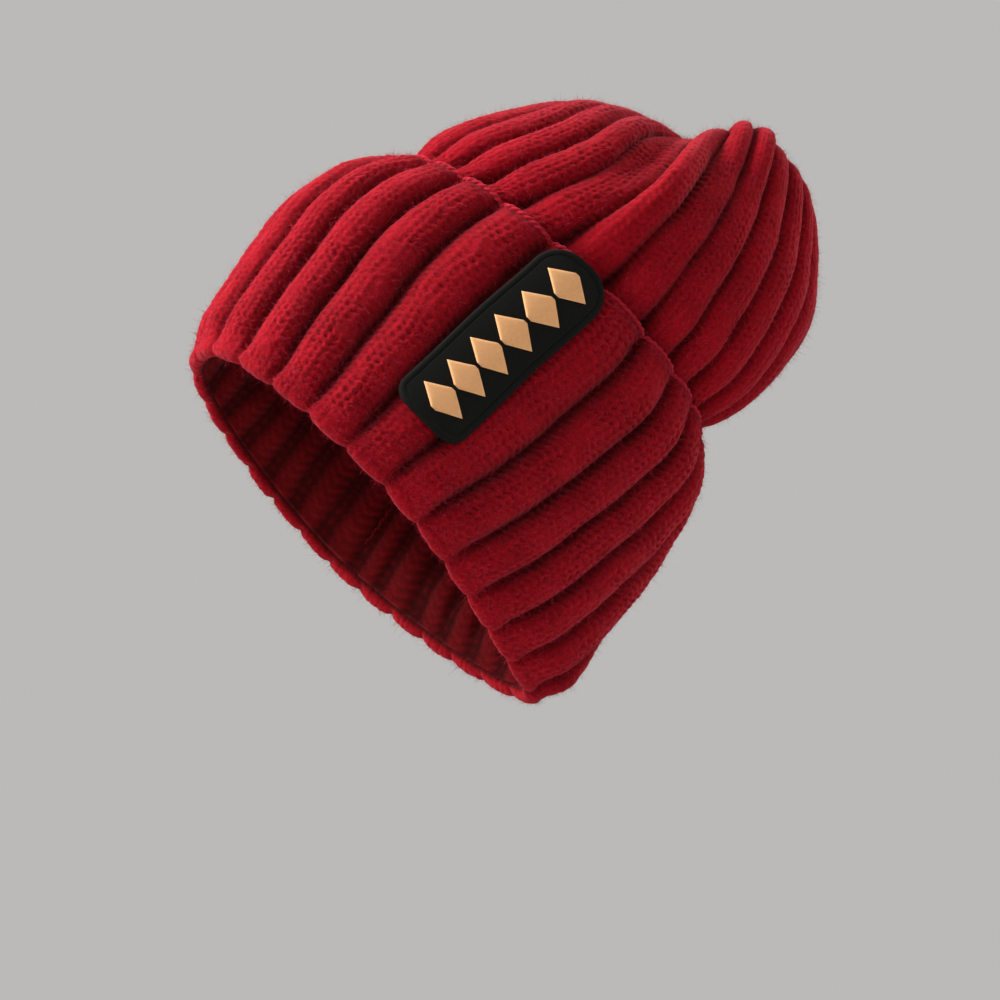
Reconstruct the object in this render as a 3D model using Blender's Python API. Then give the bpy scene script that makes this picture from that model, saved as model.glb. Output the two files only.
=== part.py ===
# Knit beanie: a ribbed wool hat with a turned-up cuff and a sewn-on label patch.
# Metres, +Z up. Origin: the middle of the head opening, level with the lowest part of the rim.
# +Z points to the crown, -Y to the front (the side with the label), +X to the wearer's left.

import math

import bmesh
import bpy
import numpy as np
from mathutils import Vector

MM = 0.001

# Knitting
RIBS = 26                    # ribs round the hat
CREST = 1.6 * MM             # how far a rib's crest stands out of the mean face
INNER_CREST = 1.0 * MM       # the same on the inside of the hat
FABRIC = 4.5 * MM            # thickness of one layer of knit
GAP = 0.4 * MM               # clearance between pieces that touch
FOLD_LIP = 8.0 * MM          # height of the turned-in lip of the rim's fold
CUFF_DEPTH = 104.0 * MM      # along the fabric, from the rim's fold to the cast-on edge
EDGE_RADIUS = 1.5 * MM       # half-thickness of the raised cast-on edge
SEAM_RADIUS = 1.0 * MM       # half-thickness of the seam up the inside of the back
YARN_RADIUS = 1.0 * MM       # half-thickness of the gathering yarn
YARN_RING = 2.6 * MM         # radius of the loop that yarn makes in the crown's dimple
YARN_RISE = 2.0 * MM         # height of that loop over the crown's last ring

# Label
LABEL_LENGTH = 80.0 * MM     # along the rib, border included
LABEL_WIDTH = 27.0 * MM      # across the rib, border included
LABEL_BORDER = 1.4 * MM      # radius of the overlocked edge
LABEL_THICKNESS = 1.2 * MM
LABEL_START = 26.0 * MM      # from the rim to the label's lower end, along the fabric
LABEL_PLACE = 0.09           # the label's middle, in ribs from its rib's middle
LABEL_LOWER_CORNER = 4.0 * MM
LABEL_UPPER_CORNER = 8.0 * MM
LABEL_LIFT = 0.9 * MM        # the label's back, over the ribs' mean crest
MOTIFS = 6
MOTIF_HEIGHT = 0.8 * MM
MOTIF_SPACE = 1.6 * MM       # between two lozenges, along the label
MOTIF_MARGIN = 2.2 * MM      # between a lozenge and the patch's long edge
MOTIF_END_MARGIN = 2.0 * MM  # between the last lozenge's space and the patch's end
MOTIF_TIP = 0.12             # width of a lozenge's tip, as a share of its full width

# Rings of the cuff's mean outer face. Each row holds, in millimetres: distance along the
# fabric from the rim; centre x, y, z; half-widths to the left and right; half-depths to the
# front and back; roundness of the front-left, front-right, back-right and back-left quarters
# (2 is an ellipse, less is a pointed lens); and the rise of the ring along x and y.
CUFF_RINGS = [
    (0, -5, -2, 4, 78, 85, 50, 52, 2.5, 1.25, 1.5, 1.7, -0.02, -0.08),
    (14, -6, -2, 18, 79.5, 86, 50, 45, 2.4, 1.4, 1.5, 1.8, -0.02, -0.02),
    (45, -9, 0, 47, 82.5, 86, 48, 40, 2.2, 1.6, 1.6, 1.9, 0.0, 0.0),
    (72, -12, 2, 73, 82.5, 85, 47, 42, 2.1, 1.7, 1.7, 2.0, 0.0, 0.0),
    (92, -13, 3, 94, 76, 80, 47, 44, 2.0, 1.8, 1.8, 2.0, 0.02, 0.0),
    (104, -14, 3, 106, 66, 70, 45, 46, 2.0, 1.9, 1.8, 2.0, 0.03, -0.01),
]

# Rings of the crown's mean outer face, in the same form, measured from the cuff's top.
CROWN_RINGS = [
    (6, -13, 3, 111, 62, 65.5, 40.5, 41, 2.0, 1.9, 1.9, 2.0, 0.03, -0.01),
    (17, -11, 3, 121, 64.7, 68, 44, 44, 2.0, 2.0, 2.0, 2.0, 0.03, 0.0),
    (45, -4, 3, 148, 59, 63, 44, 46, 2.0, 2.0, 2.0, 2.0, 0.03, 0.0),
    (70, 2, 4, 169, 49, 50, 39, 43, 2.0, 2.0, 2.0, 2.0, 0.06, -0.02),
    (88, 4, 4, 184, 29, 28, 29, 32, 2.0, 2.0, 2.0, 2.0, 0.17, -0.26),
    (98, 2, 5, 187, 20, 20, 20, 22, 2.0, 2.0, 2.0, 2.0, 0.2, -0.22),
    (106, 0, 6, 186, 13, 13, 13, 14, 2.0, 2.0, 2.0, 2.0, 0.16, -0.15),
    (113, -3, 7, 182, 8, 8, 8, 8, 2.0, 2.0, 2.0, 2.0, 0.1, -0.1),
    (121, -5, 8, 176, 3, 3, 3, 3, 2.0, 2.0, 2.0, 2.0, 0.0, 0.0),
]

# Where the ribs lie: distance along the fabric from the rim; how much wider the ribs beside the
# label are; and how far the label's rib lies from the front, in ribs.
RIB_PLACES = [
    (0, 0.16, -0.6),
    (14, 0.20, -0.49),
    (34, 0.42, -0.34),
    (104, 0.92, 0.2),
    (112, 0.65, 0.19),
    (120, 0.42, 0.15),
    (128, 0.24, 0.09),
    (136, 0.10, 0.0),
    (146, 0.03, -0.16),
    (158, 0.0, -0.5),
    (170, 0.0, -0.9),
    (178, 0.0, -1.3),
    (186, 0.0, -1.9),
    (194, 0.0, -2.4),
    (204, 0.0, -2.8),
    (225, 0.0, -3.0),
]
STRETCH_REACH = 2.3          # in ribs

# The slouching crown's folds and dents: place in ribs from the label's rib; reach in ribs; middle
# and length in millimetres up the crown; and height.
FOLDS = [
    (-0.1, 0.45, 48, 28, 4.5),
    (-1.0, 0.45, 56, 22, -6.0),
    (-1.4, 1.7, 87, 15, -9.5),
    (1.1, 0.6, 90, 14, 3.0),
    (2.2, 0.5, 88, 12, 3.0),
]

FOLD_FADE = 20.0             # mm below the gather over which the folds die away
OUTLINE_STEPS = 720

# The points of a ring of knit, in ribs from the label's rib: crests and valleys by turns.
PLACES = np.arange(-RIBS, RIBS) / 2
IS_CREST = np.arange(-RIBS, RIBS) % 2 == 0


def smooth_rows(rows, stations):
    """Rows between the given ones, on a smooth curve through them, at the given distances."""
    table = np.array(rows, float)
    keys = table[:, 0]
    slopes = np.gradient(table, keys, axis=0)
    result = []
    for station in stations:
        i = int(np.clip(np.searchsorted(keys, station, side="right") - 1, 0, len(keys) - 2))
        span = keys[i + 1] - keys[i]
        t = (station - keys[i]) / span
        a = (2 * t**3 - 3 * t**2 + 1) * table[i] + (t**3 - 2 * t**2 + t) * span * slopes[i]
        b = (3 * t**2 - 2 * t**3) * table[i + 1] + (t**3 - t**2) * span * slopes[i + 1]
        result.append(a + b)
    return result


def narrowed(row, inset):
    """The row's ring drawn in by an inset in millimetres; a pointed right side is drawn in more,
    so that the fabric keeps its thickness round the point."""
    row = np.array(row, float)
    row[4] -= inset
    row[5] -= 1.3 * inset if row[9] < 1.75 else inset
    row[6:8] -= inset
    return row


def outline(row):
    """A dense closed curve, counter-clockwise seen from above, that starts at the front."""
    cx, cy, cz, left, right, front, back, lf, rf, rb, lb, rise_x, rise_y = row[1:]
    angle = np.arange(OUTLINE_STEPS) * 2 * math.pi / OUTLINE_STEPS - math.pi / 2
    c = np.cos(angle)
    s = np.sin(angle)
    roundness = np.where(c < 0, np.where(s < 0, lf, lb), np.where(s < 0, rf, rb))
    x = np.where(c < 0, left, right) * np.sign(c) * np.abs(c) ** (2 / roundness)
    y = np.where(s < 0, front, back) * np.sign(s) * np.abs(s) ** (2 / roundness)
    return np.column_stack([cx + x, cy + y, cz + rise_x * x + rise_y * y]) * MM


def at_fractions(row, fractions, inset=0.0):
    """Places on a ring at fractions of its length: points on the ring drawn in by an inset in
    millimetres, the outward normals there, and the girth of the ring itself."""
    rim = outline(row)
    lengths = np.linalg.norm(np.roll(rim, -1, axis=0) - rim, axis=1)
    along = np.concatenate([[0.0], np.cumsum(lengths)])
    girth = along[-1]
    drawn_in = outline(narrowed(row, inset))
    steps = np.arange(OUTLINE_STEPS + 1)

    def sample(fraction):
        step = np.interp(np.mod(fraction, 1.0) * girth, along, steps)
        closed = np.vstack([drawn_in, drawn_in[:1]])
        return np.column_stack([np.interp(step, steps, closed[:, k]) for k in range(3)])

    tangent = sample(fractions + 0.004) - sample(fractions - 0.004)
    normals = np.column_stack([tangent[:, 1], -tangent[:, 0], np.zeros(len(tangent))])
    normals /= np.linalg.norm(normals, axis=1)[:, None]
    return sample(fractions), normals, girth


def rib_place(position, distance):
    """Fraction of the girth, from the front, of a place counted in ribs from the label's rib, at
    a distance in millimetres along the fabric from the rim."""
    keys, stretches, shifts = np.array(RIB_PLACES).T
    stretch = np.interp(distance, keys, stretches)
    shift = np.interp(distance, keys, shifts)
    swell = 0.5 * math.sqrt(math.pi) * STRETCH_REACH * stretch
    reach = np.array([math.erf(p / STRETCH_REACH) for p in np.atleast_1d(position)])
    full = RIBS / 2 + swell * math.erf(RIBS / 2 / STRETCH_REACH)
    return (np.atleast_1d(position) + swell * reach) / (2 * full) + shift / RIBS


def fabric_ring(row, distance, crest, inset=0.0):
    """One ring of knit: a point on each rib's crest and one in each valley between two ribs."""
    points, normals, _ = at_fractions(row, rib_place(PLACES, distance), inset / MM)
    return points + normals * np.where(IS_CREST, crest, -crest)[:, None]


def fold_height(station):
    """How far the crown's folds stand off its smooth dome at each place of a ring."""
    height = np.zeros(len(PLACES))
    for place, reach, middle, length, tall in FOLDS:
        across = np.mod(PLACES - place + RIBS / 2, RIBS) - RIBS / 2
        height += tall * MM * np.exp(-(across / reach) ** 2 - ((station - middle) / length) ** 2)
    return height


def material(name, colour, roughness):
    made = bpy.data.materials.new(name)
    made.use_nodes = True
    shader = made.node_tree.nodes["Principled BSDF"]
    shader.inputs["Base Color"].default_value = (*colour, 1.0)
    shader.inputs["Roughness"].default_value = roughness
    shader.inputs["Metallic"].default_value = 0.0
    made.diffuse_color = (*colour, 1.0)
    return made


def put(name, mesh, surface, collection):
    part = bpy.data.objects.new(name, mesh)
    part.data.materials.append(surface)
    part.data.shade_smooth()
    collection.objects.link(part)
    return part


def loft(name, rings, closed_section):
    """A skin over rings of equal length: round again when the section is closed, else capped.

    Each face between two rings is split the same way up the hat, so that two skins that lie
    face to face, such as the cuff and the body inside it, keep their clearance."""
    work = bmesh.new()
    loops = [[work.verts.new(point) for point in ring] for ring in rings]
    heights = [ring[:, 2].mean() for ring in rings]
    count = len(loops[0])
    spans = len(loops) if closed_section else len(loops) - 1
    for k in range(spans):
        k_next = (k + 1) % len(loops)
        low, high = (k, k_next) if heights[k] < heights[k_next] else (k_next, k)
        for i in range(count):
            j = (i + 1) % count
            work.faces.new((loops[low][i], loops[low][j], loops[high][j]))
            work.faces.new((loops[low][i], loops[high][j], loops[high][i]))
    if not closed_section:
        for loop in (loops[0], loops[-1]):
            middle = work.verts.new(sum((v.co for v in loop), Vector()) / count)
            for i in range(count):
                work.faces.new((loop[i], loop[(i + 1) % count], middle))
    bmesh.ops.recalc_face_normals(work, faces=work.faces)
    mesh = bpy.data.meshes.new(name)
    work.to_mesh(mesh)
    work.free()
    return mesh


# Distances along the fabric at which the cuff and the body inside it have their rings.
CUFF_STATIONS = [20.0, 45.0, 72.0, 92.0]


def cuff_row(station):
    return smooth_rows(CUFF_RINGS, [station])[0]


def make_cuff(surface, collection):
    """The turned-up band: outer face, rounded fold at the rim, and the lip inside the fold."""
    rings = []
    depth = CUFF_DEPTH / MM
    lip = FOLD_LIP / MM
    layer = FABRIC / MM
    for station in [depth] + CUFF_STATIONS[::-1] + [lip]:
        rings.append(fabric_ring(cuff_row(station), station, CREST))
    fold_inset = 2 * layer + GAP / MM
    for turn in (30, 90, 150):
        inset = fold_inset / 2 * (1 - math.cos(math.radians(turn)))
        drop = 1 - math.sin(math.radians(turn))
        row = cuff_row(lip / 2 * drop)
        rings.append(fabric_ring(row, 0.0, CREST * 0.5, inset * MM))
    rings.append(fabric_ring(cuff_row(lip), 0.0, 0.0, fold_inset * MM))
    for station in [lip] + CUFF_STATIONS + [depth]:
        rings.append(fabric_ring(cuff_row(station), station, 0.0, FABRIC))
    return put("cuff", loft("cuff", rings, True), surface, collection)


def body_rings(inset, crest, share_of_inside):
    """Rings of one face of the hat's body, from the fold's lip up to the gather."""
    rings = []
    depth = CUFF_DEPTH / MM
    base = (FABRIC + GAP + inset) / MM
    for station in [(FOLD_LIP + GAP) / MM] + CUFF_STATIONS + [depth]:
        rings.append(fabric_ring(cuff_row(station), station, crest * share_of_inside,
                                 base * MM))
    start = narrowed(cuff_row(depth), FABRIC / MM + GAP / MM)
    start[0] = 0.0
    crown = [tuple(start)] + CROWN_RINGS
    last = CROWN_RINGS[-1][0]
    for station in (6, 12, 20, 32, 45, 58, 68, 77, 85, 92, 99, 105, 110, 115, last):
        below, row, above = smooth_rows(crown, [station - 1, station, station + 1])
        narrow = min(1.0, min(row[4:8]) / 30)
        sunk = inset / MM * narrow
        row[3] -= inset / MM * (1 - narrow)
        grow = min(1.0, station / 15)
        height = crest * narrow * (share_of_inside + (1 - share_of_inside) * grow)
        ring = fabric_ring(narrowed(row, sunk), depth + station, height)
        up = fabric_ring(above, depth + station, 0.0) - fabric_ring(below, depth + station, 0.0)
        tangent = np.roll(ring, -1, axis=0) - np.roll(ring, 1, axis=0)
        outward = np.cross(tangent, up)
        outward /= np.linalg.norm(outward, axis=1)[:, None]
        folds = fold_height(station) * grow * min(1.0, (last - station) / FOLD_FADE)
        rings.append(ring + outward * folds[:, None])
    return rings


def make_body(surface, collection):
    """The hat's body and crown: one knitted layer, open at the rim and gathered at the top."""
    outer = body_rings(0.0, CREST, 0.0)
    inner = body_rings(FABRIC, INNER_CREST, 1.0)
    rings = outer[::-1] + inner
    return put("crown_body", loft("crown_body", rings, False), surface, collection)


def tube(name, points, radius, surface, collection, closed):
    """A round cord along a smooth run of points, as a mesh."""
    curve = bpy.data.curves.new(name, "CURVE")
    curve.dimensions = "3D"
    curve.bevel_depth = radius
    curve.bevel_resolution = 1
    curve.use_fill_caps = not closed
    spline = curve.splines.new("POLY")
    spline.points.add(len(points) - 1)
    for place, point in zip(spline.points, points):
        place.co = (*point, 1.0)
    spline.use_cyclic_u = closed
    part = bpy.data.objects.new(name, curve)
    curve.materials.append(surface)
    collection.objects.link(part)
    return part


def make_cast_on_edge(surface, collection):
    """The raised row of stitches that the knitting starts with, on the cuff's top edge."""
    row = cuff_row(CUFF_DEPTH / MM)
    row[3] += (EDGE_RADIUS + GAP) / MM
    ring = fabric_ring(row, CUFF_DEPTH / MM, 0.0, FABRIC / 2)
    return tube("cast_on_edge", ring, EDGE_RADIUS, surface, collection, True)


def make_gather_yarn(surface, collection):
    """The yarn drawn tight through the crown's last stitches: a ring in the crown's dimple."""
    last = CROWN_RINGS[-1]
    bpy.ops.mesh.primitive_torus_add(
        major_segments=20, minor_segments=8, major_radius=YARN_RING, minor_radius=YARN_RADIUS,
        location=(last[1] * MM, last[2] * MM, last[3] * MM + YARN_RISE))
    part = bpy.context.object
    part.name = "gather_yarn"
    part.data.name = "gather_yarn"
    part.data.materials.append(surface)
    part.data.shade_smooth()
    for home in list(part.users_collection):
        home.objects.unlink(part)
    collection.objects.link(part)
    return part


def make_back_seam(surface, collection):
    """The linked seam that closes the knit into a tube: a ridge up the inside of the back."""
    back = 0                 # the ring's point opposite the label
    rings = body_rings(FABRIC, INNER_CREST, 1.0)[:-3]
    line = np.array([ring[back] for ring in rings])
    up = np.gradient(line, axis=0)
    inward = np.array([ring.mean(axis=0) for ring in rings]) - line
    inward -= up * (np.sum(inward * up, axis=1) / np.sum(up * up, axis=1))[:, None]
    inward /= np.linalg.norm(inward, axis=1)[:, None]
    points = line + inward * (SEAM_RADIUS + 2 * GAP)
    return tube("back_seam", points[:-2], SEAM_RADIUS, surface, collection, False)


def label_point(across, along, height):
    """A point over the label's rib: metres across it, along it from the rim, and off the knit."""
    station = along / MM
    row = cuff_row(station)
    middle = rib_place(LABEL_PLACE, station)
    _, _, girth = at_fractions(row, middle)
    points, normals, _ = at_fractions(row, middle + across / girth)
    return points[0] + normals[0] * height


def half_width(along, half, length, lower_corner, upper_corner):
    """Half-width of a rounded rectangle at a distance along it."""
    for corner, distance in ((lower_corner, along), (upper_corner, length - along)):
        if distance < corner:
            return half - corner + math.sqrt(max(0.0, corner**2 - (corner - distance)**2))
    return half


def slab(name, rows, low, high, surface, collection):
    """A thin curved plate over the cuff. Each row is its place along and its two sides across."""
    columns = 6
    work = bmesh.new()
    layers = []
    for height in (low, high):
        layer = []
        for along, left, right in rows:
            spread = np.linspace(left, right, columns + 1)
            layer.append([work.verts.new(label_point(a, along, height)) for a in spread])
        layers.append(layer)
    bottom, top = layers
    last = len(rows) - 1
    for i in range(last):
        for j in range(columns):
            for layer in layers:
                work.faces.new((layer[i][j], layer[i][j + 1], layer[i + 1][j + 1],
                                layer[i + 1][j]))
        for j in (0, columns):
            work.faces.new((bottom[i][j], bottom[i + 1][j], top[i + 1][j], top[i][j]))
    for i in (0, last):
        for j in range(columns):
            work.faces.new((bottom[i][j], bottom[i][j + 1], top[i][j + 1], top[i][j]))
    bmesh.ops.recalc_face_normals(work, faces=work.faces)
    mesh = bpy.data.meshes.new(name)
    work.to_mesh(mesh)
    work.free()
    return put(name, mesh, surface, collection)


LABEL_BASE = CREST + LABEL_LIFT
PATCH_HALF = LABEL_WIDTH / 2 - 2 * LABEL_BORDER - GAP
PATCH_LENGTH = LABEL_LENGTH - 4 * LABEL_BORDER - 2 * GAP
PATCH_START = LABEL_START + 2 * LABEL_BORDER + GAP


def make_label_patch(surface, collection):
    rows = []
    corners = (LABEL_LOWER_CORNER, LABEL_UPPER_CORNER)
    ends = [share * corners[0] for share in (0.04, 0.3, 1.0)]
    upper = [PATCH_LENGTH - share * corners[1] for share in (1.0, 0.5, 0.2, 0.03)]
    middle = list(np.linspace(ends[-1], upper[0], 10)[1:-1])
    for along in ends + middle + upper:
        half = half_width(along, PATCH_HALF, PATCH_LENGTH, *corners)
        rows.append((PATCH_START + along, -half, half))
    return slab("label_patch", rows, LABEL_BASE, LABEL_BASE + LABEL_THICKNESS, surface, collection)


def make_label_border(surface, collection):
    """The overlocked edge: a cord right round the patch."""
    grow = LABEL_BORDER + GAP
    half = PATCH_HALF + grow
    corners = (LABEL_LOWER_CORNER + grow, LABEL_UPPER_CORNER + grow)
    start = PATCH_START - grow
    length = PATCH_LENGTH + 2 * grow
    height = LABEL_BASE + LABEL_THICKNESS / 2
    flat = []
    for corner, side, end, first in ((corners[0], 1, 0, 270), (corners[1], 1, 1, 0),
                                     (corners[1], -1, 1, 90), (corners[0], -1, 0, 180)):
        centre_along = length - corner if end else corner
        centre_across = side * (half - corner)
        for step in range(5):
            turn = math.radians(first + 90 * step / 4)
            flat.append((centre_across + corner * math.cos(turn),
                         start + centre_along + corner * math.sin(turn)))
    points = []
    for i, here in enumerate(flat):
        there = flat[(i + 1) % len(flat)]
        gap = math.dist(here, there)
        steps = max(1, round(gap / (5 * MM)))
        for k in range(steps):
            share = k / steps
            across = here[0] + (there[0] - here[0]) * share
            along = here[1] + (there[1] - here[1]) * share
            points.append(label_point(across, along, height))
    return tube("label_border", points, LABEL_BORDER, surface, collection, True)


def make_motifs(surface, collection):
    """A row of raised embroidered lozenges along the label."""
    pitch = (PATCH_LENGTH - 2 * MOTIF_END_MARGIN) / MOTIFS
    half_length = (pitch - MOTIF_SPACE) / 2
    half_across = PATCH_HALF - MOTIF_MARGIN
    low = LABEL_BASE + LABEL_THICKNESS + GAP
    for k in range(MOTIFS):
        middle = PATCH_START + MOTIF_END_MARGIN + (k + 0.5) * pitch
        rows = []
        for share in (-1.0, -0.5, 0.0, 0.5, 1.0):
            half = half_across * (1 - (1 - MOTIF_TIP) * abs(share))
            rows.append((middle + share * half_length, -half, half))
        slab(f"label_motif_{k + 1}", rows, low, low + MOTIF_HEIGHT, surface, collection)


def main():
    for old in list(bpy.data.objects):
        bpy.data.objects.remove(old, do_unlink=True)
    collection = bpy.data.collections.new("knit_beanie")
    bpy.context.scene.collection.children.link(collection)
    wool = material("red_wool", (0.28, 0.008, 0.018), 0.92)
    edge_wool = material("red_edge_wool", (0.34, 0.012, 0.025), 0.92)
    twill = material("black_twill", (0.012, 0.013, 0.013), 0.85)
    overlock = material("black_overlock_thread", (0.010, 0.012, 0.012), 0.7)
    thread = material("peach_thread", (0.93, 0.56, 0.27), 0.55)
    make_body(wool, collection)
    make_cuff(wool, collection)
    make_cast_on_edge(edge_wool, collection)
    make_gather_yarn(edge_wool, collection)
    make_back_seam(edge_wool, collection)
    make_label_patch(twill, collection)
    make_label_border(overlock, collection)
    make_motifs(thread, collection)


main()
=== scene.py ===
# The looks of a ribbed wool beanie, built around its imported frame. Metres, +Z up.
# Each knitted face is a grid: a row for each place along the fabric, a column for each place
# round the hat. The rings and the places of the ribs repeat the CAD's, so that every piece
# lies where its solid lies; the knitting, its fibres and the label's threads are added here.

import math

import bpy
import numpy as np
from mathutils import Matrix, Vector


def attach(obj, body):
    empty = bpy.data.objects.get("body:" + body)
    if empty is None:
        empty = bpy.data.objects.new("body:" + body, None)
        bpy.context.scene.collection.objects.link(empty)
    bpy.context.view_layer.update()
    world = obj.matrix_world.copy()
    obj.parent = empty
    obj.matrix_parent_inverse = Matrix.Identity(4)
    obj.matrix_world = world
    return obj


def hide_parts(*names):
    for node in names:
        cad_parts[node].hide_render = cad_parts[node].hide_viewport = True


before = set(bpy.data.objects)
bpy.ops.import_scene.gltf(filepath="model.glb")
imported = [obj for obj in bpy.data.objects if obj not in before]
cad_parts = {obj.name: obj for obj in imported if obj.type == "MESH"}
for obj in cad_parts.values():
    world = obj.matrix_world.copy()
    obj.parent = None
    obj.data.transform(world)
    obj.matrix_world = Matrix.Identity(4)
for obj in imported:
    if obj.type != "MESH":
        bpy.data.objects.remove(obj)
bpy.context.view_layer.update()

MM = 0.001

# ------------ dimensions, as in the CAD
RIBS = 26
FABRIC = 4.5                 # mm, one layer of knit
GAP = 0.4                    # mm
FOLD_LIP = 8.0               # mm, height of the turned-in lip of the rim's fold
CUFF_DEPTH = 104.0           # mm along the fabric, from the rim to the cast-on edge

LABEL_LENGTH = 80.0          # mm, border included
LABEL_WIDTH = 27.0
LABEL_BORDER = 1.4
LABEL_THICKNESS = 1.2
LABEL_START = 26.0
LABEL_LOWER_CORNER = 4.0
LABEL_UPPER_CORNER = 8.0
LABEL_BASE = 2.5             # mm, the label's back off the knit's mean face
MOTIFS = 6
MOTIF_HEIGHT = 0.8
MOTIF_SPACE = 1.6            # between two lozenges, along the label
MOTIF_MARGIN = 2.2           # between a lozenge and the patch's long edge
MOTIF_END_MARGIN = 2.0       # between the last lozenge's space and the patch's end
MOTIF_TIP = 0.12             # width of a lozenge's tip, as a share of its full width
PATCH_HALF = LABEL_WIDTH / 2 - 2 * LABEL_BORDER - GAP
PATCH_LENGTH = LABEL_LENGTH - 4 * LABEL_BORDER - 2 * GAP
PATCH_START = LABEL_START + 2 * LABEL_BORDER + GAP

# Rings in millimetres: distance along the fabric; centre x, y, z; half-widths left and right;
# half-depths front and back; roundness of the front-left, front-right, back-right and
# back-left quarters; rise along x and y.
CUFF_RINGS = [
    (0, -5, -2, 4, 78, 85, 50, 52, 2.5, 1.25, 1.5, 1.7, -0.02, -0.08),
    (14, -6, -2, 18, 79.5, 86, 50, 45, 2.4, 1.4, 1.5, 1.8, -0.02, -0.02),
    (45, -9, 0, 47, 82.5, 86, 48, 40, 2.2, 1.6, 1.6, 1.9, 0.0, 0.0),
    (72, -12, 2, 73, 82.5, 85, 47, 42, 2.1, 1.7, 1.7, 2.0, 0.0, 0.0),
    (92, -13, 3, 94, 76, 80, 47, 44, 2.0, 1.8, 1.8, 2.0, 0.02, 0.0),
    (104, -14, 3, 106, 66, 70, 45, 46, 2.0, 1.9, 1.8, 2.0, 0.03, -0.01),
]
CROWN_RINGS = [
    (6, -13, 3, 111, 62, 65.5, 40.5, 41, 2.0, 1.9, 1.9, 2.0, 0.03, -0.01),
    (17, -11, 3, 121, 64.7, 68, 44, 44, 2.0, 2.0, 2.0, 2.0, 0.03, 0.0),
    (45, -4, 3, 148, 59, 63, 44, 46, 2.0, 2.0, 2.0, 2.0, 0.03, 0.0),
    (70, 2, 4, 169, 49, 50, 39, 43, 2.0, 2.0, 2.0, 2.0, 0.06, -0.02),
    (88, 4, 4, 184, 29, 28, 29, 32, 2.0, 2.0, 2.0, 2.0, 0.17, -0.26),
    (98, 2, 5, 187, 20, 20, 20, 22, 2.0, 2.0, 2.0, 2.0, 0.2, -0.22),
    (106, 0, 6, 186, 13, 13, 13, 14, 2.0, 2.0, 2.0, 2.0, 0.16, -0.15),
    (113, -3, 7, 182, 8, 8, 8, 8, 2.0, 2.0, 2.0, 2.0, 0.1, -0.1),
    (121, -5, 8, 176, 3, 3, 3, 3, 2.0, 2.0, 2.0, 2.0, 0.0, 0.0),
]
# Where the ribs lie: distance along the fabric from the rim; how much wider the ribs beside the
# label are; and how far the label's rib lies from the front, in ribs.
RIB_PLACES = [
    (0, 0.16, -0.6), (14, 0.20, -0.49), (34, 0.42, -0.34), (104, 0.92, 0.2),
    (112, 0.65, 0.19), (120, 0.42, 0.15), (128, 0.24, 0.09), (136, 0.10, 0.0),
    (146, 0.03, -0.16), (158, 0.0, -0.5), (170, 0.0, -0.9), (178, 0.0, -1.3),
    (186, 0.0, -1.9), (194, 0.0, -2.4), (204, 0.0, -2.8), (225, 0.0, -3.0),
]
STRETCH_REACH = 2.3          # in ribs
FOLD_FADE = 20.0             # mm below the gather over which the crown's folds die away

# The slouching crown's folds and dents: place in ribs from the label's rib; reach in ribs; middle
# and length in millimetres up the crown; and height.
FOLDS = [
    (-0.1, 0.45, 48, 28, 4.5),
    (-1.0, 0.45, 56, 22, -6.0),
    (-1.4, 1.7, 87, 15, -9.5),
    (1.1, 0.6, 90, 14, 3.0),
    (2.2, 0.5, 88, 12, 3.0),
]

LABEL_PLACE = 0.09           # the label's middle, in ribs from its rib's middle
POINTED = 1.75               # a ring's side counts as pointed below this roundness
POINTED_INSET = 1.3          # and is drawn in this many times as much

# ------------ the knitting
OUTLINE_STEPS = 2880
COLUMNS = 28                 # grid columns in a rib of the outer faces
INNER_COLUMNS = 14           # and of the inside of the hat
ROW_STEP = 0.5               # mm between grid rows of the outer faces
INNER_ROW_STEP = 0.9
RIB_WIDTH = 15.0             # mm, for the size of the noise round the hat
NOISE_START = 7.31           # a face's first row lies this many cells into the noise
RIB_HEIGHT = 2.2             # mm, a crest above the mean face
RIB_DEPTH = 3.3              # mm, a valley below it
WALE = 0.29                  # width of one column of stitches, in ribs; three make a crest
STITCH = 2.9                 # mm, height of one stitch
STITCH_RELIEF = 0.85         # mm from the bottom of a pit to the top of a yarn
INNER_RIDGE = 0.32           # half-width of a ridge on the inside, in ribs
PURL_WIDTH = 0.16            # width of a purl bump, in ribs
PURL_WANDER = 2.2 / (2 * math.pi)    # bumps by which a row of them wanders
PINCH = 2.4                  # mm by which each side of the rim's fold is pressed in
LIP_END = 5.0                # mm from the rim; here the lip has gone under the body's face
LIP_DIP = 0.5                # how steeply it goes under
FOLD_RIB_SHARE = 0.24        # the ribs at the rim's fold are this much as tall as the cuff's
CROWN_RIB_SHARE = 0.62       # and those of the stretched crown
WIDE_RING = 30.0             # mm, the half-width from which a crown's ring is wide
CROWN_BACK = 3.6             # mm, the plain back of the crown's outer face under its mean face
INSIDE_BACK = 3.9            # and that of the inside
SIDE_VALLEY = 6.5            # the outer faces are parted in this valley, in ribs from the label
RIM_ROWS = 12                # rows of the cuff's face on the inner side of the rim's fold

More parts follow.
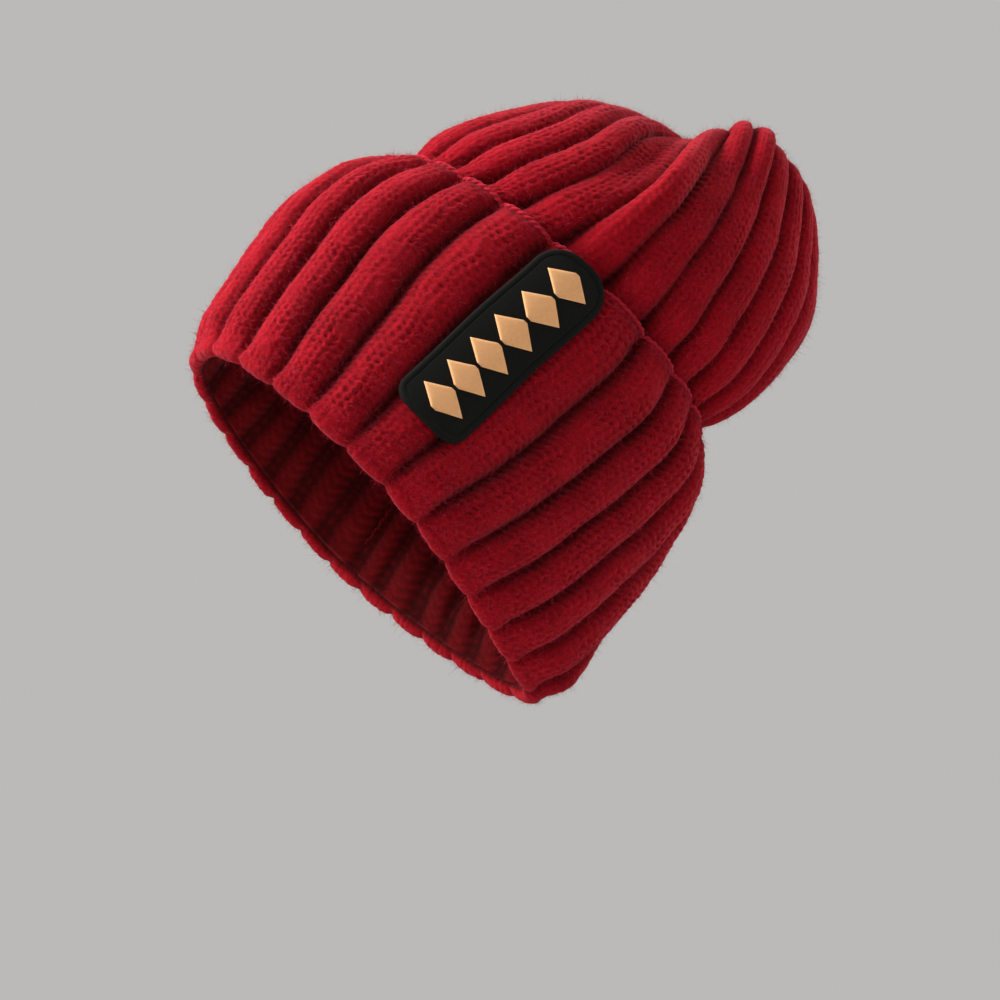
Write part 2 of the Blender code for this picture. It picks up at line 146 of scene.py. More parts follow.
# ------------ yarns, threads and fibres
YARN_DEPTH = 0.15            # how deep in the knit a yarn's colour is, 0 to 1
OFF_UPRIGHT = (0.3, 0.2, 0.93)       # no yarn runs this way, so sides are reckoned from it
EDGE_COLUMNS = 32            # points of the cast-on yarn for each rib
EDGE_HIGH = 0.5              # mm, the cast-on yarn above the cuff's last row
EDGE_SUNK = 1.9              # mm, the yarn inside the mean face in a valley
EDGE_OUT = 2.4               # mm by which it goes out, and up, to reach the crest of a rib
EDGE_UP = 0.8
LOOP_RADIUS = 2.6            # mm, the gathering yarn's loop and how far it swerves
LOOP_SWERVE = 0.5
LOOP_SWERVES = 6.5           # in one wind
LOOP_BASE = 1.6              # mm above the crown's last ring, and how far the loop climbs
LOOP_CLIMB = 1.2
LOOP_WINDS = 2
SEAM_FIRST, SEAM_LAST = 8, -40       # rows of the hat's inside between which the seam runs
SEAM_SWING = 0.25            # mm to each side
SEAM_STITCH = 3.4            # mm
SEAM_OUT = 0.4               # mm off the knit

LABEL_PRESS = 0.5            # mm by which the label presses the knit in
TUCK = 0.5                   # mm of the tape hidden under the overlocked edge
TAPE_SHORT = 0.03            # mm left off each end of the tape
LABEL_BOW = 0.9              # mm by which the label's long edges lie lower than its middle
TWILL_PITCH = 0.85           # mm from one diagonal rib of the tape to the next
TWILL_SLANT = 0.6            # millimetres along for each one across
TWILL_YARN = 0.55            # mm, width of one yarn of the tape
TWILL_RELIEF = 0.24          # mm
OVERLOCK_PITCH = 0.62        # mm from one wrap of the overlocked edge to the next
OVERLOCK_LEAN = 0.35         # wraps by which the thread advances as it goes once round
OVERLOCK_RELIEF = 0.16       # as a share of the edge's radius
OVERLOCK_FLAT = 0.5          # the edge's height as a share of its width
SATIN_PITCH = 0.42           # mm from one thread of a lozenge to the next
SATIN_LEAN = 0.5 / (2 * math.pi)     # threads by which each one leans from middle to end
SATIN_RELIEF = 0.1           # mm
MOTIF_EDGE = 0.25            # mm, a lozenge's height at its edge
MOTIF_SUNK = 0.1             # mm of a lozenge below the tape's face

# Kinds of fibres: their lengths in mm, and how upright they start, from 0 to 1.
LYING = ((1.3, 3.2), (0.15, 0.55))
STANDING = ((1.5, 3.2), (0.5, 0.95))
RIM_FRINGE = ((1.2, 2.8), (0.4, 0.9))
EDGE_FRINGE = ((1.2, 2.6), (0.2, 0.9))
FIBRE_WIDTH = (0.05, 0.10)   # mm
FIBRE_POINTS = 5
FIBRE_BEND = 0.9             # how strongly fibres curl, and how strongly they bend to the knit
FIBRE_DROOP = 0.5
CROWN_FUZZ = 110.0           # mm of the crown's outer face that has fibres


def eased(values, low, high):
    """From 0 below low to 1 above high, smoothly."""
    t = np.clip((np.asarray(values, float) - low) / (high - low), 0, 1)
    return t * t * (3 - 2 * t)


def wave(turns):
    """1 at whole turns and 0 half-way between them."""
    return 0.5 + 0.5 * np.cos(2 * math.pi * turns)


def unit(vectors, tiny=0.0):
    """The vectors scaled to length 1; tiny is added to their lengths where some may be 0."""
    return vectors / (np.linalg.norm(vectors, axis=-1, keepdims=True) + tiny)


def running(steps):
    """How far along a line each of its points lies, from the steps between them."""
    return np.concatenate([[0.0], np.cumsum(np.linalg.norm(steps, axis=1))])


def between(at, values):
    """Rows of a table at places that count from 0 at the first, on straight lines between."""
    steps = np.arange(len(values))
    return np.column_stack([np.interp(at, steps, column) for column in values.T])


def circles(side, up, angle):
    """For each point of a line, a ring of points at the given angles from side to up."""
    return (side[:, None] * np.cos(angle)[None, :, None]
            + up[:, None] * np.sin(angle)[None, :, None])


def smooth_rows(rows, stations):
    """Rows between the given ones, on a smooth curve through them, at the given distances."""
    table = np.array(rows, float)
    keys = table[:, 0]
    slopes = np.gradient(table, keys, axis=0)
    stations = np.asarray(stations, float)
    i = np.clip(np.searchsorted(keys, stations, side="right") - 1, 0, len(keys) - 2)
    span = (keys[i + 1] - keys[i])[:, None]
    t = (stations - keys[i])[:, None] / span
    start = (2 * t**3 - 3 * t**2 + 1) * table[i] + (t**3 - 2 * t**2 + t) * span * slopes[i]
    end = (3 * t**2 - 2 * t**3) * table[i + 1] + (t**3 - t**2) * span * slopes[i + 1]
    return start + end


def narrowed(rows, insets):
    """The rows' rings drawn in by insets in millimetres; a pointed side is drawn in more."""
    rows = np.array(rows, float)
    insets = np.broadcast_to(insets, len(rows))
    rows[:, 4] -= insets
    rows[:, 5] -= np.where(rows[:, 9] < POINTED, POINTED_INSET, 1.0) * insets
    rows[:, 6:8] -= insets[:, None]
    return rows


def outlines(rows):
    """A dense closed curve for each row, counter-clockwise from above, that starts at the front."""
    cx, cy, cz, left, right, front, back, lf, rf, rb, lb, rise_x, rise_y = (
        np.asarray(rows)[:, 1:].T[:, :, None])
    angle = np.arange(OUTLINE_STEPS) * 2 * math.pi / OUTLINE_STEPS - math.pi / 2
    c = np.cos(angle)[None, :]
    s = np.sin(angle)[None, :]
    roundness = np.where(c < 0, np.where(s < 0, lf, lb), np.where(s < 0, rf, rb))
    x = np.where(c < 0, left, right) * np.sign(c) * np.abs(c) ** (2 / roundness)
    y = np.where(s < 0, front, back) * np.sign(s) * np.abs(s) ** (2 / roundness)
    return np.stack([cx + x, cy + y, cz + rise_x * x + rise_y * y], axis=2)


def rib_place(positions, distance):
    """Fraction of the girth, from the front, of places counted in ribs from the label's rib, at
    a distance along the fabric from the rim."""
    keys, stretches, shifts = np.array(RIB_PLACES).T
    stretch = np.interp(distance, keys, stretches)
    shift = np.interp(distance, keys, shifts)
    swell = 0.5 * math.sqrt(math.pi) * STRETCH_REACH * stretch
    full = RIBS / 2 + swell * math.erf(RIBS / 2 / STRETCH_REACH)
    reach = np.array([math.erf(p / STRETCH_REACH) for p in positions])
    return (positions + swell * reach) / (2 * full) + shift / RIBS


def on_ring(row, fractions, inset):
    """Points at fractions of a ring's length, on the ring drawn in; and the ring's girth."""
    rim = outlines(row[None])[0]
    inner = outlines(narrowed(row[None], inset))[0]
    rim = np.vstack([rim, rim[:1]])
    inner = np.vstack([inner, inner[:1]])
    along = running(np.diff(rim, axis=0))
    step = np.interp(np.mod(fractions, 1.0) * along[-1], along, np.arange(len(rim)))
    return between(step, inner), along[-1]


def ring_positions(columns):
    """The places of a ring's grid columns, in ribs from the label's rib."""
    return np.arange(RIBS * columns) / columns - RIBS / 2


class Face:
    """One face of the knit: points and outward normals on a grid, and where each one is.
    position counts ribs from the label's, along is in millimetres from the first row, and
    pitch is the width of a rib in millimetres."""

    def __init__(self, rows, distances, insets, columns, outward):
        positions = ring_positions(columns)
        grid = [on_ring(row, rib_place(positions, distance), inset)
                for row, distance, inset in zip(rows, distances, insets)]
        self.points = np.array([points for points, _ in grid])
        self.pitch = np.array([girth / RIBS for _, girth in grid])[:, None]
        self.position = np.broadcast_to(positions, self.points.shape[:2])
        self.outward = outward
        self.measure()

    def measure(self):
        """The rows' mean distances along the fabric from the first one, and the normals."""
        steps = np.linalg.norm(np.diff(self.points, axis=0), axis=2).mean(axis=1)
        self.along = np.concatenate([[0.0], np.cumsum(steps)])[:, None]
        self.find_normals()

    def find_normals(self):
        """The normals, averaged over a few columns."""
        around = np.roll(self.points, -1, axis=1) - np.roll(self.points, 1, axis=1)
        along = np.gradient(self.points, axis=0)
        normals = unit(np.cross(around, along) * self.outward, 1e-9)
        width = 4
        summed = sum(np.roll(normals, k, axis=1) for k in range(-width, width + 1))
        self.normals = unit(summed, 1e-9)

    def lift(self, height):
        """Moves every point along its normal by its height in millimetres."""
        self.points = self.points + self.normals * height[:, :, None]


def noise(face, cell_across, cell_along, seed):
    """Smooth noise from -1 to 1 over a face; its cells, in millimetres, close round the hat."""
    columns = max(3, round(RIBS * RIB_WIDTH / cell_across))
    x = np.mod((face.position + RIBS / 2) / RIBS * columns, columns)
    y = face.along / cell_along + NOISE_START
    lattice = np.random.default_rng(seed).uniform(-1, 1, (int(y.max()) + 3, columns))
    x0 = np.floor(x).astype(int) % columns
    x1 = (x0 + 1) % columns
    y0 = np.floor(y).astype(int)
    fx = eased(x - np.floor(x), 0, 1)
    fy = eased(y - y0, 0, 1)
    y0 = np.broadcast_to(y0, x0.shape)
    low = lattice[y0, x0] * (1 - fx) + lattice[y0, x1] * fx
    high = lattice[y0 + 1, x0] * (1 - fx) + lattice[y0 + 1, x1] * fx
    return low * (1 - fy) + high * fy


def rib_profile(u):
    """From 0 in the valley to 1 on the crest of a rib; u runs from -0.5 to 0.5. The powers set
    how broad the crest is and how steeply it falls into the valley."""
    return np.clip(1 - np.abs(2.12 * u) ** 2.3, 0, 1) ** 0.62


def stitches(face, u, rib, seed):
    """How high each place lies in its stitch: 1 on the yarn and 0 in the pits between the legs.

    Three columns of Vs run along each rib. Pits lie in two staggered rows for each column: where
    neighbouring columns meet, and in the middle of each V."""
    wander_across = 0.20 * noise(face, 5.0, 9.0, seed)
    wander_along = 0.8 * noise(face, 4.0, 7.0, seed + 1)
    place = u / WALE + wander_across
    wale = np.clip(np.round(place), -1, 1)
    across = np.clip(np.abs(2 * (place - wale)), 0, 1)
    start = np.random.default_rng(seed + 2).uniform(0, 1, RIBS * 3)
    shift = start[(rib.astype(int) % RIBS) * 3 + wale.astype(int) + 1]
    phase = (face.along + wander_along) / STITCH + shift - 0.5 * across
    gap = 0.5 - 0.5 * np.cos(2 * math.pi * phase)
    edge = eased(across, 0.45, 1.0)
    heart = 1 - eased(across, 0.0, 0.5)
    groove = 0.35 * edge + 0.25 * heart
    pit = gap ** 2.2 * (0.9 * edge + 0.75 * heart) + 0.25 * gap ** 2
    return 1 - np.clip(groove + pit, 0, 1)


def outer_relief(face, rib_share, seed):
    """Lifts an outer face into ribs and stitches; returns painted shade, 0 to 1, deepest in the
    valleys and the stitches' pits.
    """
    place = face.position + 0.035 * noise(face, 20.0, 22.0, seed)
    rib = np.round(place)
    u = place - rib
    profile = rib_profile(u)
    full = RIB_HEIGHT + RIB_DEPTH
    tall = np.minimum(full, 0.55 * face.pitch) * rib_share
    crest = RIB_HEIGHT / full * tall + 0.3 * noise(face, 14.0, 24.0, seed + 10)
    yarn = stitches(face, u, rib, seed + 20)
    felt = np.clip(0.65 + 0.5 * noise(face, 6.0, 7.0, seed + 30), 0.15, 1)
    size = np.clip(face.pitch / RIB_WIDTH, 0.15, 1.0)
    fluff = 0.16 * noise(face, 1.3, 3.2, seed + 40) + 0.10 * noise(face, 0.9, 1.4, seed + 41)
    height = crest - (1 - profile) * tall
    relief = STITCH_RELIEF * (0.4 + 0.6 * rib_share)
    height = height + (yarn - 0.6) * relief * felt * size + fluff * size
    face.lift(height)
    pits = (1 - yarn) * felt
    # painted shade: darker in the valleys between ribs and in the pits between the legs
    return np.clip(0.7 * (1 - profile) * rib_share + 0.34 * pits ** 1.3, 0, 1)


def inner_relief(face, share, seed):
    """The inside's relief: a soft ridge behind each outer valley and purl bumps between, on
    fabric that sags inwards here and there. Returns heights and painted shade, darker between the
    ridges and in the stitches' hollows."""
    place = face.position - 0.5 + 0.2 * noise(face, 18.0, 26.0, seed + 5)
    rib = np.round(place)
    u = place - rib
    across = np.abs(u / INNER_RIDGE)
    ridge = np.clip(1 - across ** 2.2, 0, 1) ** 0.7
    vees = wave(face.along / STITCH - 0.8 * across)
    purl = wave(face.along / (STITCH / 2) + PURL_WANDER * noise(face, 5.0, 4.0, seed))
    stitch = np.where(across < 1, vees, purl * wave(u / PURL_WIDTH))
    tall = np.minimum(1.8, 0.3 * face.pitch) * share
    fluff = 0.15 * noise(face, 1.8, 1.8, seed + 1)
    sag = 1.1 * (1 + noise(face, 26.0, 18.0, seed + 6)) * share
    height = tall * ridge - 0.2 + 0.5 * share * (stitch - 0.5) + fluff + sag
    # painted shade: darker between the ridges and in the hollows of the stitches
    return height, np.clip(0.4 * (1 - ridge) + 0.4 * (1 - stitch), 0, 1)


# ------------ meshes
def mesh_from(name, points, faces, surface, shade_depth=None):
    """A smooth object from points in metres and faces of equal length."""
    points = np.asarray(points, np.float32)
    mesh = bpy.data.meshes.new(name)
    mesh.vertices.add(len(points))
    mesh.vertices.foreach_set("co", points.ravel())
    corners = [np.asarray(f, np.int32) for f in faces]
    mesh.loops.add(sum(c.size for c in corners))
    mesh.loops.foreach_set("vertex_index", np.concatenate([c.ravel() for c in corners]))
    sizes = np.concatenate([np.full(len(c), c.shape[1]) for c in corners])
    mesh.polygons.add(len(sizes))
    mesh.polygons.foreach_set("loop_start", np.concatenate([[0], np.cumsum(sizes)[:-1]]))
    mesh.update(calc_edges=True)
    mesh.shade_smooth()
    # the per-point values drive the painted shade of the wool and thread materials; on fibres a
    # random tone
    if shade_depth is not None:
        layer = mesh.attributes.new("shade_depth", "FLOAT", "POINT")
        layer.data.foreach_set("value", np.asarray(shade_depth, np.float32).ravel())
    mesh.materials.append(surface)
    piece = bpy.data.objects.new(name, mesh)
    bpy.context.scene.collection.objects.link(piece)
    return piece


def grid_quads(index, rows_close, columns_close):
    """The quads of a grid of point numbers; its last row or column may join its first."""
    if rows_close:
        index = np.vstack([index, index[:1]])
    if columns_close:
        index = np.hstack([index, index[:, :1]])
    corners = [index[:-1, :-1], index[:-1, 1:], index[1:, 1:], index[1:, :-1]]
    return np.stack(corners, axis=2).reshape(-1, 4)


def zipped(chain_a, chain_b):
    """Triangles that join two chains of points that start and end side by side."""
    triangles = []
    i = 0
    j = 0
    while i < len(chain_a) - 1 or j < len(chain_b) - 1:
        if j == len(chain_b) - 1 or (i < len(chain_a) - 1 and (
                i + 1) / len(chain_a) <= (j + 1) / len(chain_b)):
            triangles.append((chain_a[i], chain_a[i + 1], chain_b[j]))
            i += 1
        else:
            triangles.append((chain_a[i], chain_b[j + 1], chain_b[j]))
            j += 1
    return np.array(triangles)


def shell(name, face_points, face_shade_depth, back_points, surface, first, count, outward):
    """A closed shell: a detailed face, and a plain back whose rows lead from the face's last
    row round to its first. It spans count columns from the first one, or the whole ring."""
    total = face_points.shape[1]
    whole = count == total
    columns = (first + np.arange(count)) % total
    grid = np.concatenate([face_points, back_points])[:, columns]
    # the plain back takes the full painted shade
    shade_depth = np.concatenate([face_shade_depth, np.ones(back_points.shape[:2])])[:, columns]
    rows, width = grid.shape[:2]
    index = np.arange(rows * width).reshape(rows, width)
    quads = grid_quads(index, True, whole)
    faces = [quads if outward > 0 else quads[:, ::-1]]
    if not whole:
        n = len(face_points)
        for side, turned in ((0, outward > 0), (width - 1, outward < 0)):
            cap = zipped(index[:n, side], index[n:, side][::-1])
            faces.append(cap[:, ::-1] if turned else cap)
    return mesh_from(name, grid.reshape(-1, 3) * MM, faces, surface, shade_depth.ravel())


def ribbons(name, normals, paths, width, surface, shade):
    """Thin tapering ribbons along paths: fibres. paths is (fibres, points, 3) in millimetres;
    normals is the knit's normal at each fibre's root, and shade how deep its colour is."""
    fibres, count = paths.shape[:2]
    run = unit(np.gradient(paths, axis=1), 1e-9)
    across = unit(np.cross(run, normals[:, None, :]), 1e-9)
    taper = np.linspace(1.0, 0.25, count)[None, :, None]
    half = across * taper * (width / 2)[:, None, None]
    points = np.stack([paths - half, paths + half], axis=2).reshape(-1, 3)
    base = (np.arange(fibres) * count * 2)[:, None] + np.arange(count - 1)[None, :] * 2
    quads = np.stack([base, base + 1, base + 3, base + 2], axis=2).reshape(-1, 4)
    return mesh_from(name, points * MM, [quads], surface, np.repeat(shade, count * 2))


def rope(name, line, radius, strand, plies, turn_length, closed, surface):
    """A yarn of twisted plies along a line, all in millimetres: the plies wind at the given
    radius, each a strand of the given radius, once round in every turn_length."""
    if closed:
        run = np.roll(line, -1, axis=0) - np.roll(line, 1, axis=0)
        along = running(np.roll(line, -1, axis=0) - line)
        turns = round(along[-1] / turn_length)
        angle = 2 * math.pi * turns * along[:-1] / along[-1]
    else:
        run = np.gradient(line, axis=0)
        angle = 2 * math.pi * running(np.diff(line, axis=0)) / turn_length
    run = unit(run)
    side = unit(np.cross(run, OFF_UPRIGHT))
    up = np.cross(side, run)
    sides = 8
    around = np.arange(sides) * 2 * math.pi / sides
    grids = []
    faces = []
    n = len(line)
    for ply in range(plies):
        turn = angle + 2 * math.pi * ply / plies
        centre = line + radius * (side * np.cos(turn)[:, None] + up * np.sin(turn)[:, None])
        grids.append((centre[:, None] + strand * circles(side, up, around)).reshape(-1, 3))
        index = np.arange(n * sides).reshape(n, sides) + ply * n * sides
        faces.append(grid_quads(index, closed, True))
        if not closed:
            faces.append(index[:1, ::-1])
            faces.append(index[-1:])
    points = np.vstack(grids)
    return mesh_from(name, points * MM, faces, surface, np.full(len(points), YARN_DEPTH))


# ------------ materials
def new_material(name):
    """A material with its nodes, its links and its shader."""
    made = bpy.data.materials.new(name)
    made.use_nodes = True
    nodes = made.node_tree.nodes
    return made, nodes, made.node_tree.links, nodes["Principled BSDF"]


def set_inputs(node, values):
    for name, value in values.items():
        node.inputs[name].default_value = value


def painted_shade_of(nodes):
    """The painted shade at each place, as the meshes carry it: darker deep in the knit's valleys and
    pits, between threads, on the turned-in lip and on hidden backs; on fibres a random tone.
    """
    shade_depth = nodes.new("ShaderNodeAttribute")
    shade_depth.attribute_name = "shade_depth"
    return shade_depth.outputs["Fac"]


def speckle(nodes, links, scale, low, high, detail=3.0):
    """A noise in object space, spread from low to high; and the noise itself."""
    place = nodes.new("ShaderNodeTexCoord")
    texture = nodes.new("ShaderNodeTexNoise")
    set_inputs(texture, {"Scale": scale, "Detail": detail, "Roughness": 0.6})
    links.new(place.outputs["Object"], texture.inputs["Vector"])
    spread = nodes.new("ShaderNodeMapRange")
    set_inputs(spread, {"From Min": 0.3, "From Max": 0.7, "To Min": low, "To Max": high})
    links.new(texture.outputs["Fac"], spread.inputs["Value"])
    return spread.outputs["Result"], texture.outputs["Fac"]


def times(nodes, links, colour, factor):
    """The colour scaled by a factor."""
    scale = nodes.new("ShaderNodeVectorMath")
    scale.operation = "SCALE"
    links.new(colour, scale.inputs[0])
    links.new(factor, scale.inputs["Scale"])
    return scale.outputs["Vector"]


def wool(name, crest, pit, sheen):
    """Brushed wool: painted shade from the crest colour to a darker, browner pit colour where the
    knit lies deep; mottled, with a soft sheen.
    """
    made, nodes, links, shader = new_material(name)
    # painted shade: the ramp runs from the crest colour to the darker pit colour as the knit lies
    # deeper
    ramp = nodes.new("ShaderNodeValToRGB")
    ramp.color_ramp.elements[0].color = (*crest, 1)
    ramp.color_ramp.elements[0].position = 0.08
    ramp.color_ramp.elements[1].color = (*pit, 1)
    ramp.color_ramp.elements[1].position = 0.75
    links.new(painted_shade_of(nodes), ramp.inputs["Fac"])
    fine, _ = speckle(nodes, links, 900.0, 0.72, 1.22)
    broad, _ = speckle(nodes, links, 70.0, 0.9, 1.1, 2.0)
    colour = times(nodes, links, ramp.outputs["Color"], fine)
    colour = times(nodes, links, colour, broad)
    links.new(colour, shader.inputs["Base Color"])
    _, hair = speckle(nodes, links, 2600.0, 0.0, 1.0, 4.0)
    bump = nodes.new("ShaderNodeBump")
    set_inputs(bump, {"Strength": 0.5, "Distance": 0.25 * MM})
    links.new(hair, bump.inputs["Height"])
    links.new(bump.outputs["Normal"], shader.inputs["Normal"])
    set_inputs(shader, {"Roughness": 1.0, "Specular IOR Level": 0.1, "Sheen Weight": sheen,
                        "Sheen Roughness": 0.45, "Sheen Tint": (1.0, 0.30, 0.38, 1.0)})
    return made


def cloth(name, colour, roughness, specular, low, high, scale, sheen):
    """Thread or woven tape: a mottled colour with painted shade between its threads, and a slight
    sheen.
    """
    made, nodes, links, shader = new_material(name)
    base = nodes.new("ShaderNodeRGB")
    base.outputs[0].default_value = (*colour, 1)
    factor, _ = speckle(nodes, links, scale, low, high)
    # painted shade: the colour darkened to 0.35 between the threads
    shade = nodes.new("ShaderNodeMapRange")
    set_inputs(shade, {"To Min": 1.0, "To Max": 0.35})
    links.new(painted_shade_of(nodes), shade.inputs["Value"])
    tinted = times(nodes, links, base.outputs[0], factor)
    tinted = times(nodes, links, tinted, shade.outputs["Result"])
    links.new(tinted, shader.inputs["Base Color"])
    set_inputs(shader, {"Roughness": roughness, "Specular IOR Level": specular,
                        "Sheen Weight": sheen, "Sheen Roughness": 0.4})
    return made


# brushed wool: its pit colour is painted shade, the same wool darkened where the knit lies deep
WOOL = wool("brushed_wool", (0.27, 0.002, 0.008), (0.06, 0.0004, 0.001), 0.16)
# a darker copy of the brushed wool: painted shade over the whole inside of the hat and its seam
SHADED_INSIDE_WOOL = wool("inside_wool_painted_shade", (0.105, 0.0012, 0.0025), (0.032, 0.0003, 0.0006), 0.05)
# a lighter copy of the brushed wool: painted highlight on the raised cast-on yarn and the gather
# loop
LIT_EDGE_WOOL = wool("edge_wool_painted_highlight", (0.42, 0.010, 0.025), (0.16, 0.002, 0.005), 0.3)
# a lighter copy of the brushed wool: painted light, as through thin fibres; each fibre's tone
# differs at random
LIT_FIBRE = wool("wool_fibre_painted_light", (0.45, 0.028, 0.055), (0.18, 0.003, 0.008), 0.0)
TWILL = cloth("black_twill", (0.008, 0.0085, 0.008), 0.85, 0.15, 0.8, 1.3, 1500.0, 0.03)
OVERLOCK = cloth("black_overlock_thread", (0.006, 0.0065, 0.006), 0.85, 0.15, 0.8, 1.3, 2000.0, 0.02)
PEACH = cloth("peach_thread", (0.95, 0.50, 0.22), 0.6, 0.2, 0.92, 1.05, 1200.0, 0.05)


# ------------ cuff
def ride(piece, slot, *nodes):
    """Fixes a piece to the hat's one body, in place of the named CAD nodes; slot is not used."""
    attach(piece, "root")
    if nodes:
        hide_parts(*nodes)


def pinched(stations):
    """How far each side of the rim's fold is pressed in at distances from the rim."""
    return PINCH * (1 - eased(stations, 3.0, 16.0))


def cuff_face():
    """The outer face from the cast-on edge down, round the rim's fold and up its inner lip."""
    radius = FABRIC + GAP / 2 - PINCH
    outer = np.arange(CUFF_DEPTH, radius, -ROW_STEP)
    turn = np.linspace(0, math.pi, round(math.pi * radius / ROW_STEP))
    lip = np.arange(radius, LIP_END, ROW_STEP)[1:]
    stations = np.concatenate([outer, radius * (1 - np.sin(turn)), lip])
    side = np.concatenate([np.zeros(len(outer)), radius * (1 - np.cos(turn)),
                           2 * (FABRIC + GAP / 2) - LIP_DIP * (lip - radius)])
    lip_side = np.arange(len(stations)) >= len(outer) + len(turn)
    insets = side + np.where(lip_side, -1, 1) * pinched(stations)
    rib_share = np.concatenate([
        FOLD_RIB_SHARE + (1 - FOLD_RIB_SHARE) * eased(outer, 1.0, 13.0),
        np.full(len(turn) + len(lip), FOLD_RIB_SHARE)])
    inside = np.concatenate([np.zeros(len(outer)), eased(turn, 2.0, math.pi), np.ones(len(lip))])
    top = eased(CUFF_DEPTH - stations, -0.1, 3.0)
    rib_share = rib_share * np.where(insets > 0, 1.0, 0.55 + 0.45 * top)
    rows = smooth_rows(CUFF_RINGS, stations)
    face = Face(rows, stations, insets, COLUMNS, -1)
    return face, rib_share[:, None] * (1 - inside[:, None]), inside[:, None]


def make_cuff():
    """The cuff in a front and a back half, parted in two side valleys."""
    face, rib_share, inside = cuff_face()
    pressed = LABEL_PRESS * under_label(face)
    shade_depth = outer_relief(face, rib_share, 100)
    # painted shade on the turned-in lip, darkened as if in the fold's shadow
    shade_depth = np.maximum(shade_depth, 0.8 * inside)
    face.lift(-pressed)
    stations = np.concatenate([[FOLD_LIP, 14, 20], np.arange(30, 100, 10),
                               [CUFF_DEPTH - 1.5, CUFF_DEPTH - 0.3]])
    insets = np.concatenate([np.full(len(stations) - 1, FABRIC), [FABRIC - 1.0]])
    insets[0] = FABRIC + 1.0
    rows = smooth_rows(CUFF_RINGS, stations)
    positions = ring_positions(COLUMNS)
    back = np.array([on_ring(row, rib_place(positions, station), inset)[0]
                     for row, station, inset in zip(rows, stations, insets)])
    place_halves("cuff", face, shade_depth, back, -1, "cuff_knit", "cuff")
    return face


def under_label(face):
    """1 where the label presses on the knit and 0 away from it."""
    station = CUFF_DEPTH - face.along
    along = eased(station, LABEL_START - 2, LABEL_START + 2) * (
        1 - eased(station, LABEL_START + LABEL_LENGTH - 2, LABEL_START + LABEL_LENGTH + 2))
    return along * (1 - eased(np.abs(face.position - LABEL_PLACE), 0.42, 0.55))


def outer_halves():
    """The front and the back half of an outer face: name, first grid column and columns."""
    start = round((RIBS / 2 - SIDE_VALLEY) * COLUMNS)
    half = round(2 * SIDE_VALLEY * COLUMNS)
    return ("front", start, half), ("back", start + half, RIBS * COLUMNS - half)


def place_halves(name, face, shade_depth, back, outward, slot, node):
    """A knitted face with its plain back, as a front and a back piece."""
    for part, first, count in outer_halves():
        piece = shell(f"{name}_{part}", face.points, shade_depth, back, WOOL, first, count + 1, outward)
        ride(piece, slot, node)


# ------------ body and crown
def crown_rows(stations):
    """The crown's rings; below the cuff's top they go on inside the cuff."""
    start = narrowed(smooth_rows(CUFF_RINGS, [CUFF_DEPTH]), FABRIC + GAP)[0]
    start[0] = 0.0
    rows = smooth_rows([tuple(start)] + CROWN_RINGS, np.maximum(stations, 0))
    below = stations < 0
    rows[below] = narrowed(smooth_rows(CUFF_RINGS, CUFF_DEPTH + stations[below]), FABRIC + GAP)
    return rows


def crown_face(stations, sunk, columns, outward):
    """A face of the crown, sunk by some millimetres below the mean outer face: inwards where
    the ring is wide, and more and more downwards where it is narrow."""
    rows = crown_rows(stations)
    wide = np.minimum(1.0, rows[:, 4:8].min(axis=1) / WIDE_RING)
    rows[:, 3] -= sunk * (1 - wide)
    return Face(narrowed(rows, sunk * wide), CUFF_DEPTH + stations, np.zeros(len(rows)),
                columns, outward)


def make_crown():
    """The crown's outer face, in a front and a back half. Its ribs grow shallower from the
    cuff's top upwards: the valleys come up, and the crests stay at the same height."""
    last = CROWN_RINGS[-1][0]
    stations = np.arange(-5.0, last + 0.1, ROW_STEP)
    face = crown_face(stations, 0.0, COLUMNS, 1)
    rib_share = 1 - (1 - CROWN_RIB_SHARE) * eased(stations, 0.0, 25.0)
    face.lift(sculpted(face, stations) + RIB_HEIGHT * (1 - rib_share)[:, None])
    face.find_normals()
    shade_depth = outer_relief(face, rib_share[:, None], 300)
    coarse = np.concatenate([[last], np.arange(110, -5, -8.0), [-5.0]])
    hidden = crown_face(coarse, CROWN_BACK, COLUMNS, -1)
    hidden.lift(sculpted(hidden, coarse))
    place_halves("crown", face, shade_depth, hidden.points, 1, "body_knit", "crown_body")
    return face


def sculpted(face, stations):
    """Folds and dents of the slouching crown: height in millimetres off the smooth dome."""
    height = np.zeros(face.points.shape[:2])
    for place, reach, middle, length, tall in FOLDS:
        across = np.mod(face.position - place + RIBS / 2, RIBS) - RIBS / 2
        along = (stations[:, None] - middle) / length
        height += tall * np.exp(-(across / reach) ** 2 - along ** 2)
    ends = eased(stations, 4, 18) * np.clip((CROWN_RINGS[-1][0] - stations) / FOLD_FADE, 0, 1)
    return height * ends[:, None]


